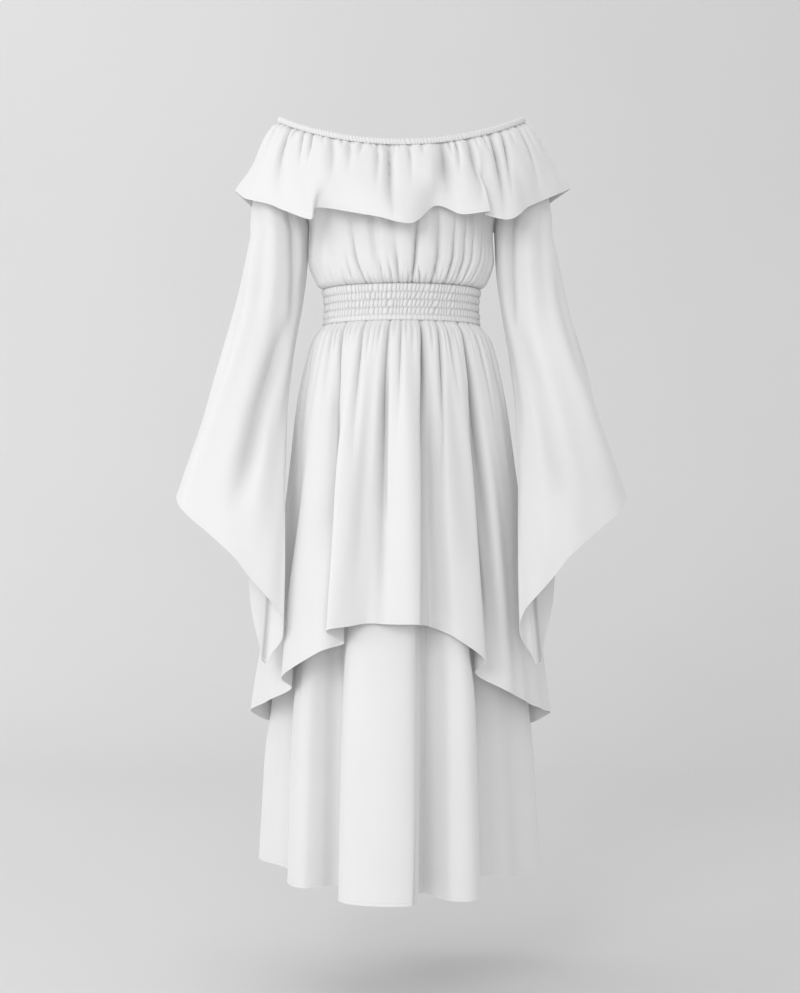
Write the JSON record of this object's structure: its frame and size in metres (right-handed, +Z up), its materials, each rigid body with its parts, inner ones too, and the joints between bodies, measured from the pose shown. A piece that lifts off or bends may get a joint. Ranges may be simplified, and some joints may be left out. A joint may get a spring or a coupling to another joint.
{
  "type": "maxi dress",
  "caption": "Off-the-shoulder maxi dress in worn shape, with a ruffled elastic neckline, shirred waist, wide pointed sleeves and a pointed overskirt over a long skirt.",
  "frame": {"origin": "middle of the elastic neckline at the height of its sides, where the wearer's upper arms hold the dress up", "axes": "+Z up along the wearer's body, front faces -Y, +X to the wearer's left"},
  "size_m": [0.7406, 0.4625, 1.2634],
  "materials": {
    "crepe": "matte white crepe",
    "shirring": "matte white crepe, gathered on elastic thread"
  },
  "bodies": {
    "root": {"neck_casing": "crepe", "ruffle_front": "crepe", "ruffle_back": "crepe", "bodice_front": "crepe", "bodice_back": "crepe", "sleeve_right": "crepe", "sleeve_left": "crepe", "waistband": "shirring", "overskirt_front": "crepe", "overskirt_back": "crepe", "underskirt_front": "crepe", "underskirt_back": "crepe"}
  },
  "joints": []
}
